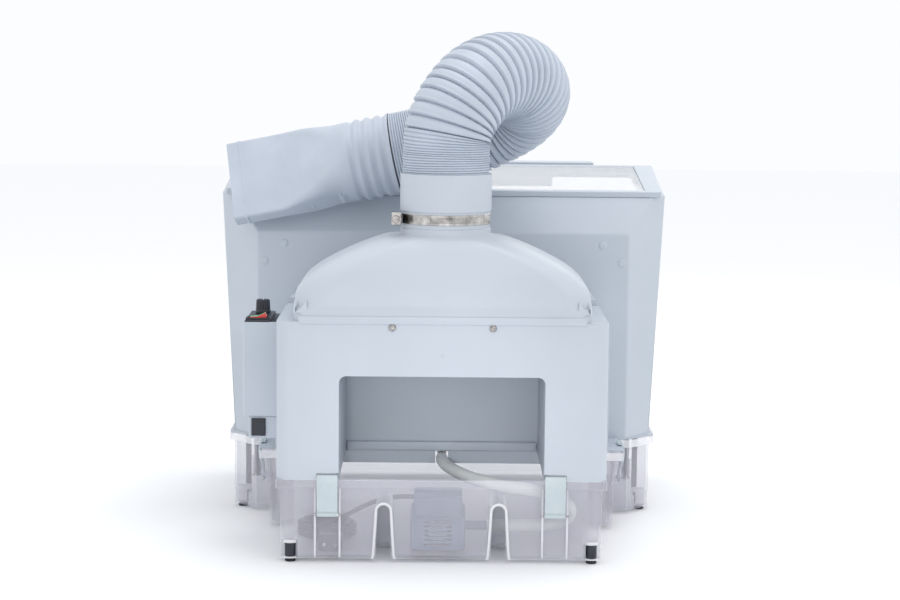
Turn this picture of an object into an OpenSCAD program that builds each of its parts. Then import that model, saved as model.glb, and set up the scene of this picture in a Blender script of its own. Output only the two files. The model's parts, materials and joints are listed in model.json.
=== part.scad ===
// Bench-top water curtain extraction booth, back side towards -Y, mouth towards +Y.
// Depths are measured from the outer face of the back latches towards the mouth.

/* [Booth] */
// Depth from the back latches to the mouth
depth = 440; // [440:5:480]
// Thickness of the moulded walls
wall = 2.5; // [2:0.5:3]
// Half the width of the hood at its foot
hood_half = 216; // [214:1:218]
// How much wider each side of the hood is at the mouth's top edge
hood_flare = 15; // [8:1:15]
// Height of the flat back panel's upper edge
panel_top = 292; // [288:1:300]

/* [Tank] */
// Gap under the tank's floor
floor_gap = 4; // [4:1:6]
// Height of the tank's rim
rim_z = 79; // [78:1:80]
// Half the width of the tank's back part at its rim
back_half = 154; // [152:1:156]
// Half the width of the tank's middle step at its rim
mid_half = 182; // [180:1:184]

/* [Fan housing] */
// Height of the fan housing's back part
housing_top = 227; // [225:1:229]
// Half the width of the bay in the back
bay_half = 95.5; // [94:0.5:95.5]
// Height of the bay's ceiling
bay_top = 176.5; // [170:0.5:178]
// Side of a square axial fan
fan_size = 120; // [120:1:121]
// Blades of each fan
blade_count = 7; // [5:1:9]

/* [Dome and duct] */
// Height of the dome's crown
dome_top = 304; // [296:1:306]
// Outside radius of the duct
duct_r = 42; // [40:0.5:42]
// Outside radius of the spigot
spigot_r = 40.5; // [38:0.5:40.5]

/* [Controls] */
// Diameter of the speed knob
knob_d = 15; // [12:1:18]
// Length of the rocker switch's opening
rocker_l = 19; // [17:1:20]

/* [Hidden] */
$fn = 64;

shell_grey = "#C8D0DA";
trim_black = "#232632";
steel_grey = "#BFC3C8";
tank_tint = [0.82, 0.81, 0.88, 0.55];
water_white = "#E1E4E1";

// plan of the stepped tank, as depths
rim_back = 3;
step_1 = 150;
step_2 = 223;
step_3 = 250;
chamfer = 27;
rim_over = 4.3;
mid_over = 10;
wide_half = hood_half + 5;
rim_h = 8;
inner_z = floor_gap + wall;

// hood profile
hood_back = 225;
hood_front = depth - 10;
frame_rise = 7.4;
frame_t = 6;
hood_top = 328;
frame_l = 155;
front_top = roof_at(hood_front);
frame_half = 224.5;
open_half = 203;
window_half = 208;
lamp_h = 14;

// feet: half span and depth of each pair
foot_pairs = [[141, 13], [208, 258], [208, depth - 22]];
foot_stem_r = 3;
foot_disc_r = 5;
barrel_r = 5.2;
barrel_top = 18.5;

// latches
latch_w = 19.5;
latch_x = 106;
latch_side_d = 186;
latch_side_x = mid_half + 3;
latch_pin_z = 46;
latch_pin_in = 4.6;
latch_pin_r = 1;
hook_z = 81.5;
flange_t = 2.2;

// channels in the back of the tank
channel_x = 53.7;
channel_l = 62;
channel_top = 57;

// fans and dome
fan_x = 65;
fan_d = 75;
fan_t = 25;
fan_z = housing_top - wall - fan_t;
fan_bore_r = 57;
screw_pitch = 105;
dome_base = housing_top + 8.5;
dome_half = 138;
// sections of the dome: half width, half depth and share of its rise
dome_sections = [
    [138, 74, 0], [138, 73, 0.15], [136.5, 72, 0.27], [131, 70.5, 0.39], [120.5, 68.5, 0.52],
    [107, 65.5, 0.64], [90, 61, 0.77], [73, 55.5, 0.88], [56, 48.5, 0.97], [42, 42.5, 1]
];
duct_x = 2;
duct_d = 75;

// control box on the housing's left side
box_x = -176;
box_out = -190;
box_d = 60;
box_l = 75;
box_z = 128;
box_top = 219;
plate_t = 2;
plate_top = box_top + plate_t;
knob_d_pos = box_d + 55;
rocker_d_pos = box_d + 12;
rocker_deep = 13;
rocker_pin_z = plate_top + 1.2;

// pump in the tank
pump_x = -3;
pump_half = 26;
pump_d = 24;
pump_l = 70;
pump_z = inner_z + 2.5;
pump_h = 30;
outlet_d = 72;
outlet_z = 22;
tube_r = 6;
cord_r = 2.2;
riser_d = 236;
riser_z = 73;
coil_x = -112;
coil_d = 92;
coil_r = 24;

// duct, from the cuff over the loop and back along the hood's upper edge
duct_route = [
    [2, 75, 361], [2, 75, 378], [3, 75, 396], [8, 77, 413], [17, 82, 428], [28, 90, 441],
    [41, 103, 449.5], [54, 118, 453], [67, 135, 452], [77, 152, 446], [82, 170, 437.5],
    [81, 187, 429], [74, 200, 419], [60, 210, 409], [43, 215, 400], [24, 217, 392],
    [5, 217, 386], [-14, 216.5, 381], [-32, 216, 376.5], [-49, 216.1, 372.8]
];
// tube from the riser, along the tank's back wall and round to the pump
tube_route = [
    [0, 146, 73], [1, 132, 73], [5, 115, 72], [12, 97, 71], [21, 79, 70], [33, 60, 69.5],
    [47, 42, 69], [64, 28, 68.5], [84, 20, 68], [103, 22, 63], [117, 32, 54], [123, 46, 43],
    [120, 60, 32], [109, 70, 25], [92, 73, 22], [72, 73, 22], [44, 72, 22]
];
// lead from the pump to the coil
cord_route = [
    [-26, 70, 50], [-40, 70, 50], [-54, 70, 48], [-66, 70, 44], [-77, 70, 39], [-88, 70, 33],
    [-98, 70, 28], [-107, 70, 24.5]
];

function unit(v) = v / norm(v);
function along(p, i) = unit(p[min(i + 1, len(p) - 1)] - p[max(i - 1, 0)]);
function sides_of(p, n, i = 0) = i == len(p) ? [] :
    let (t = along(p, i), m = unit(n - (n * t) * t)) concat([m], sides_of(p, m, i + 1));
function ring(c, t, n, r, k) = [for (j = [0:k - 1])
    c + r * (cos(360 * j / k) * n + sin(360 * j / k) * cross(t, n))];
function arc(x, y, r, a, b, k = 6) = [for (j = [0:k])
    [x + r * cos(a + (b - a) * j / k), y + r * sin(a + (b - a) * j / k)]];
function block(x, y, r) = concat(arc(x - r, y - r, r, 0, 90), arc(r - x, y - r, r, 90, 180),
    arc(r - x, r - y, r, 180, 270), arc(x - r, r - y, r, 270, 360));
function mirrored(p) = concat(p, [for (i = [len(p) - 1:-1:0]) [-p[i].x, p[i].y]]);
// plan of the tank and its rim, inset from the rim's outline
function stepped(a, b, c, t, front) = mirrored([[a - t, rim_back + t], [a - t, step_1 + t],
    [b - t, step_1 + t], [b - t, step_2 + t], [c - chamfer - 0.4 * t, step_2 + t],
    [c - t, step_3 + 0.4 * t], [c - t, front - t]]);

// moves a shape whose depths start at the latches into the part's frame
module placed() {
    translate([0, -depth / 2, 0]) children();
}

module both() {
    children();
    mirror([1, 0, 0]) children();
}

// a box between two corners
module span(low, high) {
    translate(low) cube(high - low);
}

// a rounded tube of round section along a list of points
module swept(p, r, k, start) {
    n = sides_of(p, start);
    last = len(p) - 1;
    points = [for (i = [0:last]) each ring(p[i], along(p, i), n[i], r, k)];
    walls = [for (i = [0:last - 1]) for (j = [0:k - 1])
        [i * k + j, (i + 1) * k + j, (i + 1) * k + (j + 1) % k, i * k + (j + 1) % k]];
    ends = [[for (j = [0:k - 1]) j], [for (j = [k - 1:-1:0]) last * k + j]];
    polyhedron(points, concat(walls, ends));
}

// a shape drawn as depth and height, extruded across the width
module profile(half) {
    translate([-half, 0, 0]) rotate([90, 0, 90]) linear_extrude(2 * half) children();
}

// a shape drawn as width and height, extruded along the depth
module fascia(from, to) {
    translate([0, to, 0]) rotate([90, 0, 0]) linear_extrude(to - from) children();
}

// arched outline of a channel: straight legs that lean in, and a round head
module arch(foot, head, top) {
    polygon(concat([[-foot, 0], [foot, 0]], arc(0, top - head, head, 0, 180, 10)));
}

// ---- tank ----

module tank_ribs() {
    for (x = [latch_x - 11.5, latch_x + 11.5])
        span([x - 1, rim_back, inner_z], [x + 1, rim_back + rim_over + 1, rim_z - rim_h]);
}

module side_ribs() {
    for (d = [latch_side_d - 11.5, latch_side_d + 11.5])
        span([mid_half - mid_over - 1, d - 1, 40], [mid_half, d + 1, rim_z - rim_h]);
}

module foot_windows() {
    both() {
        span([foot_pairs[0].x - 7, 0, floor_gap + 1], [back_half, foot_pairs[0].y + 7, barrel_top]);
        for (i = [1, 2])
            span([foot_pairs[i].x - 7, foot_pairs[i].y - 7, floor_gap + 1],
                [wide_half, foot_pairs[i].y + 7, barrel_top]);
    }
}

module foot_posts(r, from, to) {
    for (p = foot_pairs)
        both() translate([p.x, p.y, from]) cylinder(r = r, h = to - from, $fn = 48);
}

module latch_pin_cuts() {
    both() {
        translate([latch_x - 13, latch_pin_in, latch_pin_z])
            rotate([0, 90, 0]) cylinder(r = latch_pin_r, h = 26, $fn = 32);
        translate([latch_side_x - latch_pin_in, latch_side_d - 13, latch_pin_z])
            rotate([-90, 0, 0]) cylinder(r = latch_pin_r, h = 26, $fn = 32);
    }
}

module water_tank() {
    color(tank_tint) placed() difference() {
        union() {
            difference() {
                translate([0, 0, floor_gap]) linear_extrude(rim_z - floor_gap - 1)
                    polygon(stepped(back_half, mid_half - 5.7, wide_half, rim_over, depth));
                translate([0, 0, inner_z]) linear_extrude(rim_z)
                    polygon(stepped(back_half, mid_half - 5.7, wide_half, rim_over + wall, depth));
            }
            translate([0, 0, rim_z - rim_h]) linear_extrude(rim_h) difference() {
                polygon(stepped(back_half, mid_half, wide_half, 0, depth));
                polygon(stepped(back_half, mid_half - 5.7, wide_half, rim_over + wall, depth));
            }
            for (x = [-channel_x, channel_x])
                translate([x, 0, floor_gap]) fascia(rim_back + rim_over, channel_l)
                    arch(10, 8, channel_top - floor_gap);
            both() tank_ribs();
            both() side_ribs();
            foot_posts(barrel_r + 3, floor_gap, barrel_top + 3);
        }
        for (x = [-channel_x, channel_x])
            translate([x, 0, 0]) fascia(-1, channel_l - wall)
                arch(7.5, 5.5, channel_top - 2.5);
        foot_windows();
        foot_posts(barrel_r, -1, barrel_top);
        foot_posts(foot_stem_r + 0.05, -1, barrel_top + 2);
        latch_pin_cuts();
    }
}

module foot_barrels() {
    color(trim_black) placed() difference() {
        foot_posts(barrel_r, floor_gap + 0.8, barrel_top);
        foot_posts(foot_stem_r + 0.05, 0, 30);
    }
}

// a levelling foot: disc, neck and stem, its disc at the bottom
module foot(i) {
    pair = foot_pairs[floor((i - 1) / 2)];
    side = i % 2 == 1 ? -1 : 1;
    color(trim_black) placed() translate([side * pair.x, pair.y, 0]) {
        cylinder(r = foot_disc_r, h = 2.4, $fn = 48);
        translate([0, 0, 2.4]) cylinder(r = foot_stem_r, h = 15, $fn = 48);
    }
}

// a latch seen from behind: the plate, the hook at its top and the eye round its pin
module latch() {
    rotate([0, 90, 0]) translate([-latch_pin_z, 0, -latch_w / 2]) difference() {
        union() {
            translate([0, latch_pin_in, 0]) cylinder(r = 2.3, h = latch_w, $fn = 48);
            translate([-1.5, 1, 0]) cube([3, latch_pin_in - 2, latch_w]);
        }
        translate([0, latch_pin_in, -1]) cylinder(r = latch_pin_r + 0.05, h = latch_w + 2, $fn = 32);
    }
    span([-latch_w / 2, 0, latch_pin_z - 1.6], [latch_w / 2, 2.2, hook_z + 2.6]);
    span([-latch_w / 2, 0, hook_z], [latch_w / 2, 7, hook_z + 2.6]);
}

module back_latch(side) {
    color(shell_grey) placed() translate([side * latch_x, 0, 0]) latch();
}

module side_latch(side) {
    color(shell_grey) placed() translate([side * latch_side_x, latch_side_d, 0])
        rotate([0, 0, side * 90]) latch();
}

module latch_pins() {
    color(steel_grey) placed() latch_pin_cuts();
}

// ---- fan housing and hood ----

module housing_plan(t) {
    near = back_half - t;
    polygon(concat(arc(12 + t - near, rim_back + 12 + t, 12, 180, 270),
        arc(near - 12 - t, rim_back + 12 + t, 12, 270, 360),
        [[near, step_1 + t], [-near, step_1 + t]]));
}

module mid_profile(t) {
    polygon([[t - 166, 0], [166 - t, 0], [166 - t, 206], [151 - t, 233 - t], [t - 151, 233 - t],
        [t - 166, 206]]);
}

module bay_void() {
    translate([0, 0, rim_z - 20]) fascia(0, step_1)
        polygon(concat([[-bay_half, 0], [bay_half, 0]],
            arc(bay_half - 6.5, bay_top - rim_z + 13.5, 6.5, 0, 90),
            arc(6.5 - bay_half, bay_top - rim_z + 13.5, 6.5, 90, 180)));
}

// the space inside the housing, open towards the air channel
module housing_room() {
    translate([0, 0, rim_z - 1]) linear_extrude(housing_top - wall - rim_z + 1) housing_plan(wall);
}

// walls of the bay, with its opening taken out
module bay_walls() {
    span([-bay_half - wall, rim_back + 1, rim_z], [bay_half + wall, step_1, bay_top + wall]);
}

module fan_housing() {
    color(shell_grey) placed() difference() {
        union() {
            difference() {
                translate([0, 0, rim_z]) linear_extrude(housing_top - rim_z) housing_plan(0);
                housing_room();
            }
            bay_walls();
        }
        bay_void();
        // fan openings, latch slots and dome screws
        for (x = [-fan_x, fan_x])
            translate([x, fan_d, housing_top - wall - 1]) cylinder(r = fan_bore_r, h = wall + 2);
        fan_screw_holes(1.6, housing_top - wall - 1, housing_top + 1);
        both() span([latch_x - latch_w / 2 - 0.5, 0, rim_z + flange_t],
            [latch_x + latch_w / 2 + 0.5, 9, hook_z + 4]);
        for (x = [-46.5, 46.5])
            translate([x, 0, housing_top - 5]) rotate([-90, 0, 0]) cylinder(r = 1.75, h = 8, $fn = 32);
    }
}

// the channel from the hood to the fans; its back wall is also the back of the bay
module air_channel() {
    color(shell_grey) placed() difference() {
        union() {
            difference() {
                intersection() {
                    fascia(step_1, hood_back) mid_profile(0);
                    span([-200, step_1, rim_z], [200, hood_back, 240]);
                }
                fascia(step_1 + wall, hood_back + 1) mid_profile(wall);
                difference() {
                    housing_room();
                    span([-bay_half - wall, step_1 - 1, 0], [bay_half + wall, hood_back, bay_top + wall]);
                }
            }
            span([-bay_half - wall, step_1, rim_z - 11.5], [bay_half + wall, step_1 + wall, rim_z]);
            both() span([161, step_1 + 8, rim_z], [mid_half, step_2 - 1, rim_z + flange_t]);
        }
        // notch for the tube
        span([-6.5, step_1 - 1, rim_z - 12], [6.5, step_1 + wall + 1, rim_z + 0.5]);
    }
}

// height of the hood's roof at a depth
function roof_at(d) = hood_top + (d - step_3) * tan(frame_rise);

// outer shape of the hood, with its walls moved in by t
module hood_body(t, low, front) {
    side_lean = hood_flare / (front_top - rim_z);
    intersection() {
        profile(260) polygon([[hood_back + t, low], [hood_back + t, panel_top - 0.3 * t],
            [step_3 + 0.5 * t, roof_at(step_3 + 0.5 * t) - t], [front, roof_at(front) - t], [front, low]]);
        fascia(hood_back - 10, front + 1) polygon([
            [t - hood_half - side_lean * (low - rim_z), low],
            [hood_half - t + side_lean * (low - rim_z), low],
            [hood_half - t + side_lean * (400 - rim_z), 400],
            [t - hood_half - side_lean * (400 - rim_z), 400]]);
        translate([0, 0, low]) linear_extrude(400) polygon([[0.4 * t - 190, hood_back],
            [190 - 0.4 * t, hood_back], [240, hood_back + 50 + 0.4 * t],
            [240, depth + 2], [-240, depth + 2], [-240, hood_back + 50 + 0.4 * t]]);
    }
}

// shape on the plane of the top frame, from its back edge towards the mouth
module on_top(lift) {
    translate([0, step_3, hood_top]) rotate([frame_rise, 0, 0]) translate([0, 0, lift]) children();
}

module frame_plan(t) {
    polygon([[t - frame_half, t], [frame_half - t, t], [frame_half + 5 - t, frame_l - t],
        [t - frame_half - 5, frame_l - t]]);
}

module booth_hood() {
    color(shell_grey) placed() difference() {
        union() {
            difference() {
                hood_body(0, rim_z, hood_front);
                hood_body(wall, rim_z - 5, hood_front + 5);
            }
            both() translate([0, 0, rim_z]) linear_extrude(flange_t) polygon([
                [192, hood_back + 1], [hood_half + 5, step_3 + 2], [hood_half + 5, hood_front],
                [hood_half - 2, hood_front], [hood_half - 2, step_3 + 3], [188, hood_back + 2.5]]);
        }
        on_top(-12) linear_extrude(30) polygon([[-open_half, 14], [open_half, 14],
            [open_half, frame_l - 12], [-open_half, frame_l - 12]]);
        // the way of the air, and of the riser, into the fan housing
        span([-140, hood_back - 1, rim_z - 1], [140, hood_back + wall + 1, rim_z + 56]);
    }
}

module top_frame() {
    color(shell_grey) placed() on_top(0) difference() {
        linear_extrude(frame_t) frame_plan(0);
        translate([0, 0, -1]) linear_extrude(frame_t + 2) polygon([[-open_half, 14],
            [open_half, 14], [open_half, frame_l - 12], [-open_half, frame_l - 12]]);
        translate([0, 0, 3]) linear_extrude(frame_t) polygon([[-window_half, 9],
            [window_half, 9], [window_half, frame_l - 7], [-window_half, frame_l - 7]]);
    }
}

module top_window() {
    color([0.9, 0.93, 0.96, 0.3]) placed() on_top(3) linear_extrude(2.5) polygon([
        [0.4 - window_half, 9.4], [window_half - 0.4, 9.4],
        [window_half - 0.4, frame_l - 7.4], [0.4 - window_half, frame_l - 7.4]]);
}

module mouth_frame() {
    lean = hood_flare / (front_top - rim_z);
    top = front_top - rim_z;
    color(shell_grey) placed() translate([0, 0, rim_z]) fascia(hood_front, depth) difference() {
        polygon([[-hood_half, 0], [hood_half, 0], [hood_half + lean * top, top],
            [-hood_half - lean * top, top]]);
        polygon([[14 - hood_half, 12], [hood_half - 14, 12],
            [hood_half + lean * top - 16, top - 13], [16 - hood_half - lean * top, top - 13]]);
    }
}

// ---- lamp under the front header ----

module lamp_cover() {
    color(shell_grey) placed() span([-165, hood_front - 22, front_top], [165, depth, front_top + 5]);
}

module lamp_housing() {
    color(shell_grey) placed() difference() {
        on_top(-wall - lamp_h) span([-119, frame_l - 11, 0], [119, frame_l + 24, lamp_h]);
        on_top(-wall - lamp_h - 1) span([-116, frame_l - 8, 0], [116, frame_l + 21, lamp_h - 1.5]);
    }
}

module lamp_board() {
    color("#F2F2EE") placed() on_top(-wall - 2.5 - 1.6)
        span([-114, frame_l - 7, 0], [114, frame_l + 20, 1.6]);
}

module lamp_lens() {
    color([0.95, 0.96, 0.98, 0.6]) placed() on_top(-wall - lamp_h)
        span([-116, frame_l - 8, 0], [116, frame_l + 21, 2]);
}

// ---- fans ----

module fan_screw_holes(r, from, to) {
    for (x = [-fan_x, fan_x], i = [-1, 1], j = [-1, 1])
        translate([x + i * screw_pitch / 2, fan_d + j * screw_pitch / 2, from])
            cylinder(r = r, h = to - from, $fn = 32);
}

module fan_frames() {
    color(trim_black) placed() difference() {
        for (x = [-fan_x, fan_x]) {
            difference() {
                translate([x, fan_d, fan_z]) linear_extrude(fan_t)
                    polygon(block(fan_size / 2, fan_size / 2, 6));
                translate([x, fan_d, fan_z - 1]) cylinder(r = fan_bore_r, h = fan_t + 2);
            }
            translate([x, fan_d, fan_z]) cylinder(r = 19, h = 3);
            for (a = [45, 135])
                translate([x, fan_d, fan_z + 1.5]) rotate([0, 0, a])
                    cube([2 * fan_bore_r + 4, 4, 3], center = true);
            translate([x, fan_d, fan_z]) cylinder(r = 4, h = 12, $fn = 48);
        }
        fan_screw_holes(1.6, fan_z - 1, fan_z + fan_t + 1);
    }
}

module fan_rotor(side) {
    color("#30333C") placed() translate([side * fan_x, fan_d, fan_z]) {
        difference() {
            translate([0, 0, 4]) cylinder(r = 20, h = 18);
            translate([0, 0, 3]) cylinder(r = 4.05, h = 12, $fn = 48);
        }
        for (i = [0:blade_count - 1])
            rotate([0, 0, 360 / blade_count * i]) translate([36, 0, 13]) rotate([38, 0, 0])
                cube([36, 20, 1.6], center = true);
    }
}

module fan_screws() {
    color(steel_grey) placed() {
        fan_screw_holes(1.6, housing_top - 12, housing_top);
        fan_screw_holes(3.2, housing_top, housing_top + 1.8);
    }
}

// ---- dome, cuff, clamp, duct and nozzle ----

// stacked levels of the dome, each a rounded block that shrinks towards the crown
module dome_shape(t) {
    hull() for (s = dome_sections)
        translate([0, fan_d, dome_base + (dome_top - dome_base - t) * s[2] - 0.5])
            linear_extrude(0.5) polygon(block(s[0] - t, s[1] - t, 25.5 + 10 * s[2]));
}

module duct_dome() {
    color(shell_grey) placed() difference() {
        union() {
            translate([0, fan_d, housing_top]) linear_extrude(dome_base - housing_top)
                polygon(block(dome_half, 72, 12));
            dome_shape(0);
            translate([duct_x, duct_d, dome_top - 12]) cylinder(r = 43, h = 18, $fn = 96);
            translate([duct_x, duct_d, dome_top]) cylinder(r = spigot_r, h = 40, $fn = 96);
        }
        translate([0, fan_d, housing_top - 1]) linear_extrude(dome_base - housing_top + 1)
            polygon(block(dome_half - wall, 72 - wall, 10));
        dome_shape(wall);
        translate([duct_x, duct_d, dome_top - 20]) cylinder(r = spigot_r - wall, h = 70, $fn = 96);
    }
}

module dome_screws() {
    color(steel_grey) placed() for (x = [-46.5, 46.5])
        translate([x, rim_back, housing_top - 5]) rotate([-90, 0, 0]) {
            translate([0, 0, -0.9]) cylinder(r = 3.4, h = 0.9, $fn = 48);
            translate([0, 0, -2]) cylinder(r = 2.4, h = 1.1, $fn = 48);
            cylinder(r = 1.75, h = 8, $fn = 32);
        }
}

module duct_cuff() {
    color(shell_grey) placed() translate([duct_x, duct_d, 0]) difference() {
        union() {
            translate([0, 0, dome_top + 6]) cylinder(r = 42, h = 17, $fn = 96);
            translate([0, 0, dome_top + 22]) cylinder(r = 43.5, h = 35, $fn = 96);
        }
        translate([0, 0, dome_top]) cylinder(r = spigot_r, h = 40, $fn = 96);
        translate([0, 0, dome_top + 39]) cylinder(r = 39, h = 20, $fn = 96);
    }
}

module clamp_band() {
    color(steel_grey) placed() translate([duct_x, duct_d, dome_top + 10]) difference() {
        cylinder(r = 42.8, h = 9.6, $fn = 96);
        translate([0, 0, -1]) cylinder(r = 42, h = 12, $fn = 96);
    }
}

// the worm housing sits at the left of the band, with its screw across the depth
module clamp_housing() {
    color(steel_grey) placed() translate([duct_x - 47, duct_d - 24, dome_top + 8.8]) difference() {
        translate([-4.2, 0, 0]) cube([9.8, 13, 12]);
        translate([0, -1, 6]) rotate([-90, 0, 0]) cylinder(r = 3.3, h = 15, $fn = 48);
    }
}

module clamp_screw() {
    color(steel_grey) placed() translate([duct_x - 47, duct_d - 24, dome_top + 14.8])
        rotate([-90, 0, 0]) {
            translate([0, 0, -6]) cylinder(r = 4, h = 5.6, $fn = 6);
            translate([0, 0, -0.4]) cylinder(r = 3.25, h = 15, $fn = 48);
        }
}

module duct_hose() {
    color(shell_grey) placed() swept(duct_route, duct_r - 0.1, 12, [1, 0, 0]);
}

// frame of the nozzle: its axis runs from the duct's end down to the flat mouth
module nozzle_axis() {
    translate([-49.1, 216.1, 372.7]) rotate([0, 0, -3.75]) rotate([0, -101.3, 0]) children();
}

module nozzle_neck(t) {
    translate([0, 0, 58]) linear_extrude(1) polygon(block(38 - t, 33 - t, 29 - t));
}

module nozzle_shape(t) {
    translate([0, 0, -1]) cylinder(r = duct_r - t, h = 48, $fn = 96);
    rotate([0, 0, 28]) {
        hull() {
            translate([0, 0, 43]) cylinder(r = duct_r - 1 - t, h = 4, $fn = 48);
            nozzle_neck(t);
        }
        hull() {
            nozzle_neck(t);
            translate([0, 0, 121]) linear_extrude(1) polygon(block(43 - t, 9 - t, 4));
        }
        translate([0, 0, 121]) linear_extrude(50 + t) polygon(block(43 - t, 9 - t, 4));
    }
}

module duct_nozzle() {
    color(shell_grey) placed() nozzle_axis() difference() {
        intersection() {
            nozzle_shape(0);
            translate([-60, -60, 0.5]) cube([120, 120, 170.5]);
        }
        translate([0, 0, -1]) nozzle_shape(wall);
    }
}

// ---- controls ----

module control_box() {
    color(shell_grey) placed() difference() {
        span([box_out, box_d, box_z], [-back_half, box_d + box_l, box_top]);
        span([box_out + wall, box_d + wall, box_z + wall],
            [-back_half - wall, box_d + box_l - wall, box_top + 1]);
    }
}

module control_plate() {
    color(trim_black) placed() difference() {
        span([box_x - 11.7, box_d + 0.5, box_top], [box_x + 11.7, box_d + box_l - 0.5, plate_top]);
        span([box_x - rocker_l / 2 - 1, rocker_d_pos - rocker_deep / 2, box_top - 1],
            [box_x + rocker_l / 2 + 1, rocker_d_pos + rocker_deep / 2, plate_top + 1]);
        translate([box_x + 1, knob_d_pos, box_top - 1]) cylinder(r = 3.6, h = plate_t + 2, $fn = 48);
    }
    // ears that carry the plate on the box's end walls
    color(trim_black) placed() for (d = [box_d + wall, box_d + box_l - wall - 3])
        span([box_x - 8, d, box_top - 6], [box_x + 8, d + 3, box_top]);
}

module speed_knob() {
    color(trim_black) placed() translate([box_x + 1, knob_d_pos, plate_top + 0.6]) difference() {
        union() {
            cylinder(r = knob_d / 2, h = 2.5);
            translate([0, 0, 2.5]) cylinder(r = knob_d / 2 - 0.6, h = 10.5);
        }
        translate([0, 0, -1]) cylinder(r = 3.05, h = 10, $fn = 48);
    }
}

module speed_pot() {
    color(steel_grey) placed() translate([box_x + 1, knob_d_pos, box_top - 12]) {
        cylinder(r = 8.2, h = 12, $fn = 48);
        cylinder(r = 3.5, h = 12 + plate_t, $fn = 48);
        cylinder(r = 3, h = 20, $fn = 48);
    }
}

module speed_board() {
    color("#3F6B4A") placed()
        span([box_x - 11, box_d + 8, box_z + wall], [box_x - 9.4, box_d + 64, box_top - 25]);
}

module rocker_frame() {
    half = rocker_l / 2;
    deep = rocker_deep / 2;
    color(trim_black) placed() translate([box_x, rocker_d_pos, 0]) difference() {
        union() {
            span([-half - 1, -deep, box_top - 17], [half + 1, deep, plate_top]);
            span([-half - 1.8, -deep - 1.5, plate_top], [half + 1.8, deep + 1.5, plate_top + 1.5]);
        }
        span([-half, 1.5 - deep, box_top - 8], [half, deep - 1.5, plate_top + 3]);
        translate([0, 0.7 - deep, rocker_pin_z]) rotate([-90, 0, 0])
            cylinder(r = 1.55, h = rocker_deep - 1.4, $fn = 32);
    }
}

// a rocker in back view: its right end stands up and its left end is pressed in
module rocker_button() {
    reach = rocker_l / 2 - 1.2;
    color("#D73C3C") placed() translate([box_x, rocker_d_pos, 0]) {
        translate([0, 0, rocker_pin_z]) fascia(1.8 - rocker_deep / 2, rocker_deep / 2 - 1.8)
            polygon([[-reach, -3.4], [0.6 - reach, 0.9], [0, 1.6], [reach - 1.6, 4.8],
                [reach, 1], [reach - 0.4, -0.4], [0, -3.4]]);
        translate([0, 1 - rocker_deep / 2, rocker_pin_z]) rotate([-90, 0, 0])
            cylinder(r = 1.5, h = rocker_deep - 2, $fn = 32);
    }
}

module power_socket() {
    color(trim_black) placed() translate([-175, box_d + 1, 117.8]) difference() {
        translate([-6.5, 0, -8.2]) cube([13, 22, 16.4]);
        translate([0, 11, -9.2]) cylinder(r = 4, h = 16, $fn = 48);
    }
}

module socket_bracket() {
    color(shell_grey) placed() difference() {
        span([-184.5, box_d + 3, box_z - 21], [-back_half, box_d + 30, box_z]);
        span([-181.5, box_d, 109.6], [-168.5, box_d + 40, 126]);
        translate([-175, box_d + 12, 100]) cylinder(r = 5, h = 12, $fn = 48);
    }
}

// ---- water curtain inside the hood ----

module water_trough() {
    color(shell_grey) placed() difference() {
        profile(180) polygon([[hood_back + wall, 278], [hood_back + 20, 278], [hood_back + 20, 294],
            [hood_back + 17.5, 294], [hood_back + 17.5, 280.5], [hood_back + wall + 2.5, 280.5],
            [hood_back + wall + 2.5, 291], [hood_back + wall, 291]]);
        translate([0, riser_d, 277]) cylinder(r = tube_r, h = 8);
    }
}

module curtain_plate() {
    color(steel_grey) placed() profile(186) polygon([[hood_back + 20, 294],
        [hood_back + 21.2, 294], [hood_back + 36.2, rim_z + 22], [hood_back + 35, rim_z + 22]]);
}

// pipe from the tube's end in the bay up to the trough
module riser_pipe() {
    color(water_white) placed() difference() {
        union() {
            translate([0, 146.3, riser_z]) rotate([-90, 0, 0])
                cylinder(r = tube_r - 1.5, h = riser_d - 146.3, $fn = 48);
            translate([0, riser_d, riser_z - tube_r]) cylinder(r = tube_r, h = 282 - riser_z + tube_r);
        }
        translate([0, 145, riser_z]) rotate([-90, 0, 0]) cylinder(r = 3, h = riser_d - 145, $fn = 48);
        translate([0, riser_d, riser_z]) cylinder(r = 4, h = 200);
    }
}

// floor of the working space, bars across the tray with a rim round them
module work_grille() {
    low = step_3 + 16;
    high = depth - 14;
    half = hood_half - 7;
    pitch = (high - low) / 12;
    color(shell_grey) placed() {
        difference() {
            span([-half, low, rim_z + 1], [half, high, rim_z + 5]);
            span([6 - half, low + 6, rim_z], [half - 6, high - 6, rim_z + 6]);
        }
        for (i = [1:11])
            span([5 - half, low + pitch * i - 1.5, rim_z + 1],
                [half - 5, low + pitch * i + 1.5, rim_z + 5]);
        for (x = [-half / 2, 0, half / 2])
            span([x - 1.5, low + 5, rim_z - 4], [x + 1.5, high - 5, rim_z + 1]);
    }
}

// posts that carry the grille, clear of the posts over the levelling feet
module grille_feet() {
    color(trim_black) placed() both() for (d = [step_3 + 46, depth - 44])
        translate([hood_half - 10, d, inner_z]) cylinder(r = 3, h = rim_z + 1 - inner_z, $fn = 32);
}

// ---- pump and what goes with it ----

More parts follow.
